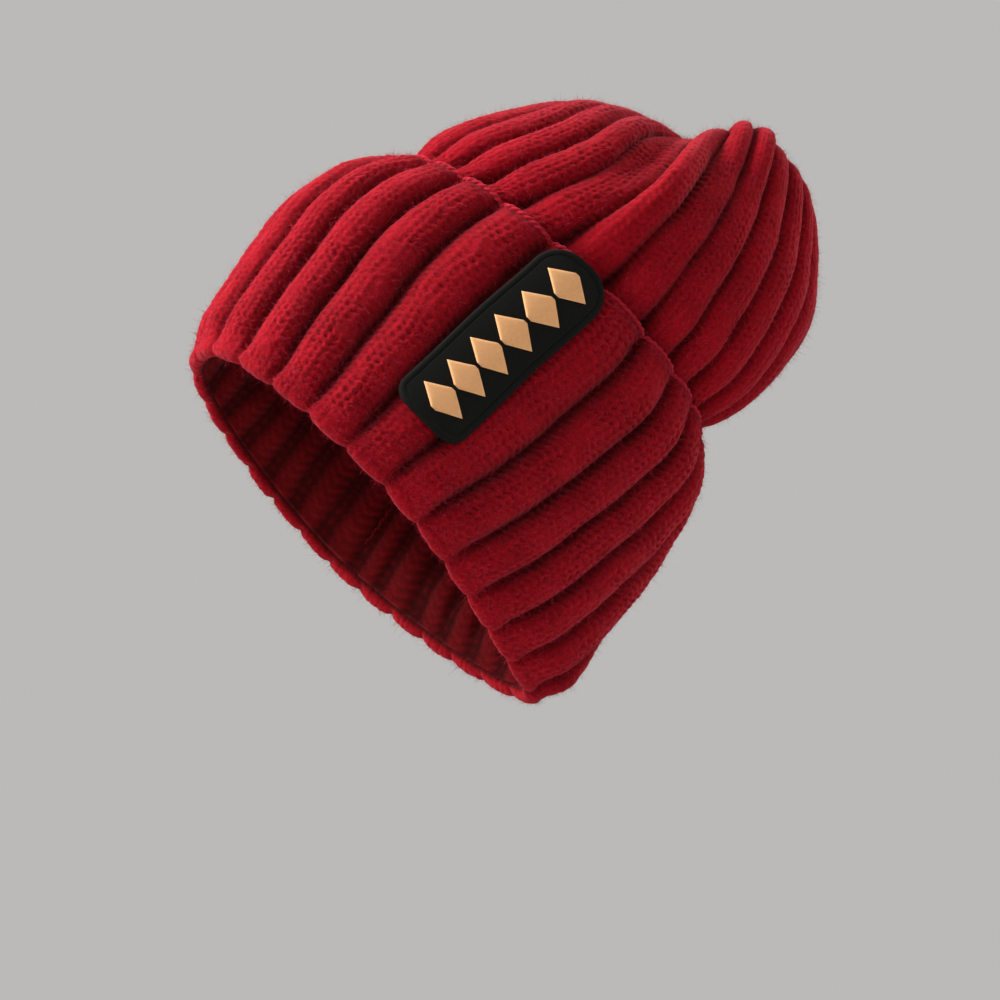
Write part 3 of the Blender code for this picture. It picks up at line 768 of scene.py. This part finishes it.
def make_inside():
    """The inside of the hat, from the fold's lip to the gather, in one piece."""
    radius = 2 * FABRIC + GAP
    low = np.arange(2.4, CUFF_DEPTH, INNER_ROW_STEP)
    last = CROWN_RINGS[-1][0]
    high = np.arange(0.0, last + 0.1, INNER_ROW_STEP)
    lower = Face(smooth_rows(CUFF_RINGS, low), low, radius - pinched(low), INNER_COLUMNS, -1)
    upper = crown_face(high, FABRIC, INNER_COLUMNS, -1)
    upper.lift(-sculpted(upper, high))
    face = lower
    face.points = np.concatenate([lower.points, upper.points])
    face.pitch = np.concatenate([lower.pitch, upper.pitch])
    face.position = np.broadcast_to(face.position[0], face.points.shape[:2])
    face.measure()
    share = eased(face.along, -4, 12)
    height, shade_depth = inner_relief(face, share, 500)
    face.lift(height)
    coarse = np.concatenate([[last], np.arange(110, 1, -8.0)])
    over = crown_face(coarse, INSIDE_BACK, INNER_COLUMNS, -1)
    over.lift(sculpted(over, coarse))
    under = np.concatenate([np.arange(CUFF_DEPTH, 14, -10.0), [10, 6, 3.4]])
    below = Face(smooth_rows(CUFF_RINGS, under), under, radius - 0.6 - pinched(under),
                 INNER_COLUMNS, 1)
    back = np.concatenate([over.points, below.points])
    piece = shell("body_inside", face.points, shade_depth, back, SHADED_INSIDE_WOOL, 0,
                  face.points.shape[1], -1)
    ride(piece, "body_knit", "crown_body")
    return face


# ------------ trims in yarn
def make_cast_on_edge():
    """The raised cast-on row along the cuff's top edge: a two-ply yarn that dips at each rib."""
    row = smooth_rows(CUFF_RINGS, [CUFF_DEPTH])[0]
    row[3] += EDGE_HIGH
    positions = ring_positions(EDGE_COLUMNS)
    points, _ = on_ring(row, rib_place(positions, CUFF_DEPTH), 0.0)
    u = positions - np.round(positions)
    outward = points - points.mean(axis=0)
    outward[:, 2] = 0
    points = points + unit(outward) * (EDGE_OUT * rib_profile(u) - EDGE_SUNK)[:, None]
    points[:, 2] += EDGE_UP * rib_profile(u)
    piece = rope("cast_on_yarn", points, radius=0.30, strand=0.58, plies=2, turn_length=5.0,
                 closed=True, surface=LIT_EDGE_WOOL)
    ride(piece, "edge_knit", "cast_on_edge")


def make_gather():
    """The drawstring yarn at the top of the crown, wound twice round the gathered stitches."""
    x, y, z = CROWN_RINGS[-1][1:4]
    full_turn = LOOP_WINDS * 2 * math.pi
    angle = np.linspace(0, full_turn, 120)
    radius = LOOP_RADIUS + LOOP_SWERVE * np.sin(angle * LOOP_SWERVES)
    line = np.column_stack([x + radius * np.cos(angle), y + radius * np.sin(angle),
                            z + LOOP_BASE + LOOP_CLIMB * angle / full_turn])
    piece = rope("gather_yarn_loop", line, radius=0.4, strand=0.5, plies=2, turn_length=3.0,
                 closed=False, surface=LIT_EDGE_WOOL)
    ride(piece, "gather_yarn", "gather_yarn")


def make_back_seam(inside):
    """The linked seam up the inside of the back: a chain that swings from side to side. The
    grid's first column is the one at the back."""
    line = inside.points[SEAM_FIRST:SEAM_LAST, 0]
    out = inside.normals[SEAM_FIRST:SEAM_LAST, 0]
    along = np.linspace(0, len(line) - 1, len(line) * 2)
    line = between(along, line)
    out = between(along, out)
    side = unit(np.cross(out, np.gradient(line, axis=0)))
    swing = SEAM_SWING * np.sin(along * INNER_ROW_STEP * 2 * math.pi / SEAM_STITCH)
    line = line + out * SEAM_OUT + side * swing[:, None]
    piece = rope("back_seam_chain", line, radius=0.3, strand=0.4, plies=2, turn_length=3.0,
                 closed=False, surface=SHADED_INSIDE_WOOL)
    ride(piece, "seam_yarn", "back_seam")


# ------------ label
def on_label(across, along, height):
    """Points over the label's rib: millimetres across it, along it from the rim, off the knit.
    The label bows down a little towards its sides."""
    across = np.asarray(across, float)
    result = np.empty((*across.shape, 3))
    for k, station in enumerate(np.asarray(along, float)):
        row = smooth_rows(CUFF_RINGS, [station])[0]
        middle = rib_place(np.full(1, LABEL_PLACE), station)[0]
        _, girth = on_ring(row, np.zeros(1), 0.0)
        fractions = middle + across[k] / girth
        points, _ = on_ring(row, fractions, 0.0)
        ahead, _ = on_ring(row, fractions + 0.004, 0.0)
        behind, _ = on_ring(row, fractions - 0.004, 0.0)
        tangent = ahead - behind
        normals = unit(np.column_stack([tangent[:, 1], -tangent[:, 0],
                                        np.zeros(len(tangent))]))
        bow = LABEL_BOW * (across[k] / (LABEL_WIDTH / 2)) ** 2
        result[k] = points + normals * (height[k] - bow)[:, None]
    return result


def half_width(along, half, length, lower, upper):
    """Half-width of a rounded rectangle at distances along it."""
    along = np.asarray(along, float)
    low = half - lower + np.sqrt(np.clip(lower**2 - (lower - along) ** 2, 0, None))
    high = half - upper + np.sqrt(np.clip(upper**2 - (upper - (length - along)) ** 2, 0, None))
    return np.where(along < lower, low, np.where(length - along < upper, high, half))


def plate(name, along, half, base, top, shade_depth, surface):
    """A plate over the label's rib: along (n), half-widths (n), top height and painted shade (n, m).
    """
    count = top.shape[1]
    across = half[:, None] * np.linspace(-1, 1, count)[None, :]
    upper = on_label(across, along, top)
    lower = on_label(across, along, np.full(top.shape, base))
    n = len(along)
    index = np.arange(n * count).reshape(n, count)
    under = index + n * count
    quads = [grid_quads(index, False, False), grid_quads(under, False, False)[:, ::-1]]
    loop = np.concatenate([index[0, :-1], index[:-1, -1], index[-1, :0:-1], index[:0:-1, 0]])
    below = loop + n * count
    quads.append(np.stack([below, np.roll(below, -1), np.roll(loop, -1), loop], axis=1))
    points = np.concatenate([upper.reshape(-1, 3), lower.reshape(-1, 3)])
    # the underside and sides take the full painted shade
    values = np.concatenate([shade_depth.ravel(), np.ones(n * count)])
    return mesh_from(name, points * MM, quads, surface, values)


def make_label_patch():
    """The black twill tape: fine diagonal ribs."""
    along = np.linspace(TAPE_SHORT, PATCH_LENGTH - TAPE_SHORT, 330)
    half = TUCK + half_width(along, PATCH_HALF, PATCH_LENGTH, LABEL_LOWER_CORNER,
                             LABEL_UPPER_CORNER)
    across = half[:, None] * np.linspace(-1, 1, 96)[None, :]
    diagonal = (along[:, None] + TWILL_SLANT * across) / TWILL_PITCH
    twill = wave(diagonal)
    raised = TWILL_RELIEF * twill * (0.7 + 0.3 * wave(across / TWILL_YARN))
    top = LABEL_BASE + LABEL_THICKNESS - TWILL_RELIEF + raised
    along = along + TUCK * np.linspace(-1, 1, len(along))
    # painted shade in the grooves between the twill's diagonal ribs
    piece = plate("label_patch_twill", PATCH_START + along, half, LABEL_BASE, top, 1 - twill, TWILL)
    ride(piece, "label_twill", "label_patch")


def border_line(steps):
    """The middle of the overlocked edge: places across and along, evenly spaced, and length."""
    grow = LABEL_BORDER + GAP / 2
    half = PATCH_HALF + grow
    length = PATCH_LENGTH + 2 * grow
    low = LABEL_LOWER_CORNER + grow
    high = LABEL_UPPER_CORNER + grow
    flat = []
    for corner, side, end, first in ((low, 1, 0, 270), (high, 1, 1, 0), (high, -1, 1, 90),
                                     (low, -1, 0, 180)):
        middle_along = length - corner if end else corner
        for turn in np.radians(first + np.linspace(0, 90, 12)):
            flat.append((side * (half - corner) + corner * math.cos(turn),
                         middle_along + corner * math.sin(turn)))
    flat = np.array(flat + flat[:1])
    lengths = running(np.diff(flat, axis=0))
    at = np.arange(steps) / steps * lengths[-1]
    across = np.interp(at, lengths, flat[:, 0])
    along = PATCH_START - grow + np.interp(at, lengths, flat[:, 1])
    return across, along, lengths[-1]


def make_label_border():
    """The overlocked edge: thread wound closely over the label's rim."""
    steps = 2200
    across, along, length = border_line(steps)
    middle = LABEL_BASE + LABEL_THICKNESS / 2
    ones = np.ones((steps, 1))
    line = on_label(across[:, None], along, middle * ones)[:, 0]
    over = on_label(across[:, None], along, (middle + 1) * ones)[:, 0] - line
    run = unit(np.roll(line, -1, axis=0) - np.roll(line, 1, axis=0))
    side = unit(np.cross(run, over))
    over = np.cross(side, run)
    around = 14
    angle = np.arange(around) * 2 * math.pi / around
    wraps = round(length / OVERLOCK_PITCH)
    lean = OVERLOCK_LEAN * angle[None, :] / (2 * math.pi)
    phase = np.arange(steps)[:, None] / steps * wraps + lean
    thread = wave(phase)
    radius = LABEL_BORDER * (1 - OVERLOCK_RELIEF + OVERLOCK_RELIEF * thread)
    ring = circles(side, over * OVERLOCK_FLAT, angle)
    points = line[:, None] + ring * radius[:, :, None]
    quads = grid_quads(np.arange(steps * around).reshape(steps, around), True, True)
    # painted shade between the wraps of the thread
    piece = mesh_from("label_border_thread", points.reshape(-1, 3) * MM, [quads], OVERLOCK,
                      1 - thread.ravel())
    ride(piece, "label_overlock", "label_border")


def make_motifs():
    """Raised lozenges in satin stitch, along the label."""
    pitch = (PATCH_LENGTH - 2 * MOTIF_END_MARGIN) / MOTIFS
    half_length = (pitch - MOTIF_SPACE) / 2
    half_across = PATCH_HALF - MOTIF_MARGIN
    low = LABEL_BASE + LABEL_THICKNESS - MOTIF_SUNK
    for k in range(MOTIFS):
        middle = PATCH_START + MOTIF_END_MARGIN + (k + 0.5) * pitch
        share = np.linspace(-1, 1, 90)
        half = half_across * (1 - (1 - MOTIF_TIP) * np.abs(share))
        spread = np.linspace(-1, 1, 40)
        dome = np.clip(1 - np.abs(spread[None, :]) ** 4, 0, 1) ** 0.5
        thread = wave(share[:, None] * half_length / SATIN_PITCH + SATIN_LEAN * spread[None, :])
        top = (low + MOTIF_EDGE + (MOTIF_HEIGHT - MOTIF_EDGE) * dome
               + SATIN_RELIEF * thread * dome)
        # painted shade between the satin threads
        shade_depth = 0.5 * (1 - thread) * np.ones(top.shape)
        piece = plate(f"label_motif_stitches_{k + 1}", middle + share * half_length, half, low,
                      top, shade_depth, PEACH)
        ride(piece, "motif_thread", f"label_motif_{k + 1}")


# ------------ fibres
def make_fuzz(name, face, rows, columns, count, length, lift, slot, seed):
    """Loose wool fibres on a part of a face: rows is the first row and the one after the last,
    and columns is the first column and how many. Fibres under the label are left out. under_label
    counts from a face's first row, so they are left out of the crown's rib above it too."""
    random = np.random.default_rng(seed)
    total = face.points.shape[1]
    row = random.integers(*rows, count)
    column = (columns[0] + random.integers(0, columns[1], count)) % total
    free = under_label(face)[row, column] <= 0
    row = row[free]
    column = column[free]
    count = len(row)
    root = face.points[row, column] + random.normal(0, 0.2, (count, 3))
    normal = face.normals[row, column]
    any_way = random.normal(0, 1, (count, 3))
    tangent = unit(any_way - normal * np.sum(any_way * normal, axis=1)[:, None])
    rise = random.uniform(*lift, count)[:, None]
    start = normal * rise + tangent * np.sqrt(1 - rise**2)
    bend = random.normal(0, FIBRE_BEND, (count, 3)) - normal * FIBRE_DROOP
    size = random.uniform(*length, count) * random.uniform(0.6, 1.0, count)
    t = np.linspace(0, 1, FIBRE_POINTS)[None, :, None]
    paths = root[:, None] + size[:, None, None] * (start[:, None] * t
                                                   + 0.5 * bend[:, None] * t**2)
    width = random.uniform(*FIBRE_WIDTH, count)
    piece = ribbons(name, normal, paths, width, LIT_FIBRE, random.uniform(0, 1, count))
    ride(piece, slot)


def make_all_fuzz(cuff, crown):
    """Short fibres that lie on the outer faces, some that stand, and fringes at the cuff's rim
    and at its cast-on edge."""
    whole = (0, RIBS * COLUMNS)
    rows = len(cuff.points) - RIM_ROWS
    last = round(CROWN_FUZZ / ROW_STEP)
    for k, (part, first, count) in enumerate(outer_halves()):
        columns = (first, count)
        make_fuzz(f"cuff_fuzz_{part}", cuff, (2, rows), columns, 36000, *LYING, "cuff_knit",
                  700 + k)
        make_fuzz(f"crown_fuzz_{part}", crown, (12, last), columns, 30000, *LYING, "body_knit",
                  710 + k)
    make_fuzz("cuff_stray_fibres", cuff, (2, rows), whole, 7000, *STANDING, "cuff_knit", 720)
    make_fuzz("crown_stray_fibres", crown, (12, last), whole, 6000, *STANDING, "body_knit", 721)
    make_fuzz("rim_fuzz", cuff, (rows - 34, rows + 4), whole, 9000, *RIM_FRINGE, "cuff_knit", 722)
    make_fuzz("cast_on_fuzz", cuff, (0, 7), whole, 9000, *EDGE_FRINGE, "edge_knit", 723)


# ------------ stage, camera, lights
ELEVATION = math.radians(-17.0)      # the camera looks up at the hat from in front
ROLL = math.radians(44.0)
DISTANCE = 0.9
AIM = Vector((0.023, 0.0, 0.045))
FOCAL_LENGTH = 98.8
SENSOR = 36.0
LIGHTS_AIM = Vector((0, 0, 0.09))
LIGHT_SPREAD = 110.0                 # degrees
PALE_ROOM = (0.80, 0.79, 0.77, 1)
ROOM_STRENGTH = 0.62
PALE_FLOOR = (0.80, 0.79, 0.775, 1)
FLOOR_HALF = 6.0
FLOOR_LEVEL = -0.36


def camera_axes():
    """The camera's right, up and forward directions."""
    flat = Vector((1, 0, 0))
    forward = Vector((0, math.cos(ELEVATION), -math.sin(ELEVATION)))
    upright = flat.cross(forward)
    right = flat * math.cos(ROLL) + upright * math.sin(ROLL)
    up = upright * math.cos(ROLL) - flat * math.sin(ROLL)
    return right, up, forward


def make_camera():
    right, up, forward = camera_axes()
    data = bpy.data.cameras.new("camera")
    data.lens = FOCAL_LENGTH
    data.sensor_width = SENSOR
    data.clip_start = 0.01
    camera = bpy.data.objects.new("camera", data)
    turned = Matrix((right, up, -forward)).transposed().to_4x4()
    camera.matrix_world = Matrix.Translation(AIM - forward * DISTANCE) @ turned
    bpy.context.scene.collection.objects.link(camera)
    bpy.context.scene.camera = camera


def area_light(name, direction, distance, size, power, colour):
    data = bpy.data.lights.new(name, "AREA")
    data.shape = "SQUARE"
    data.size = size
    data.energy = power
    data.spread = math.radians(LIGHT_SPREAD)
    data.color = colour
    light = bpy.data.objects.new(name, data)
    light.location = LIGHTS_AIM + direction.normalized() * distance
    light.rotation_mode = "QUATERNION"
    light.rotation_quaternion = (LIGHTS_AIM - light.location).to_track_quat("-Z", "Y")
    bpy.context.scene.collection.objects.link(light)


def make_stage():
    """A plain pale floor, a pale room and soft studio lights."""
    right, up, forward = camera_axes()
    area_light("key", up * 0.60 - right * 0.74 - forward * 0.06, 1.3, 0.5, 14.0, (1.0, 0.98, 0.97))
    area_light("fill", up * 0.64 + right * 0.76 + forward * 0.46, 1.5, 1.0, 8.6, (1.0, 0.9, 0.88))
    area_light("bounce", -up * 0.9 + right * 0.44 - forward * 0.24, 1.4, 1.0, 3.2, (1.0, 0.92, 0.9))
    area_light("back", Vector((0.3, 1.0, 0.8)), 1.6, 1.0, 1.2, (1.0, 1.0, 1.0))
    world = bpy.data.worlds.new("pale_room")
    world.use_nodes = True
    background = world.node_tree.nodes["Background"]
    set_inputs(background, {"Color": PALE_ROOM, "Strength": ROOM_STRENGTH})
    bpy.context.scene.world = world
    surface, _, _, shader = new_material("pale_floor")
    set_inputs(shader, {"Base Color": PALE_FLOOR, "Roughness": 0.7})
    corners = [(x * FLOOR_HALF, y * FLOOR_HALF, FLOOR_LEVEL)
               for x, y in ((-1, -1), (1, -1), (1, 1), (-1, 1))]
    floor = mesh_from("floor", corners, [np.array([[0, 1, 2, 3]])], surface)


# ------------ all together
bpy.context.scene.view_settings.view_transform = "Standard"
make_camera()
cuff = make_cuff()
crown = make_crown()
inside = make_inside()
make_cast_on_edge()
make_gather()
make_back_seam(inside)
make_label_patch()
make_label_border()
make_motifs()
make_all_fuzz(cuff, crown)
make_stage()
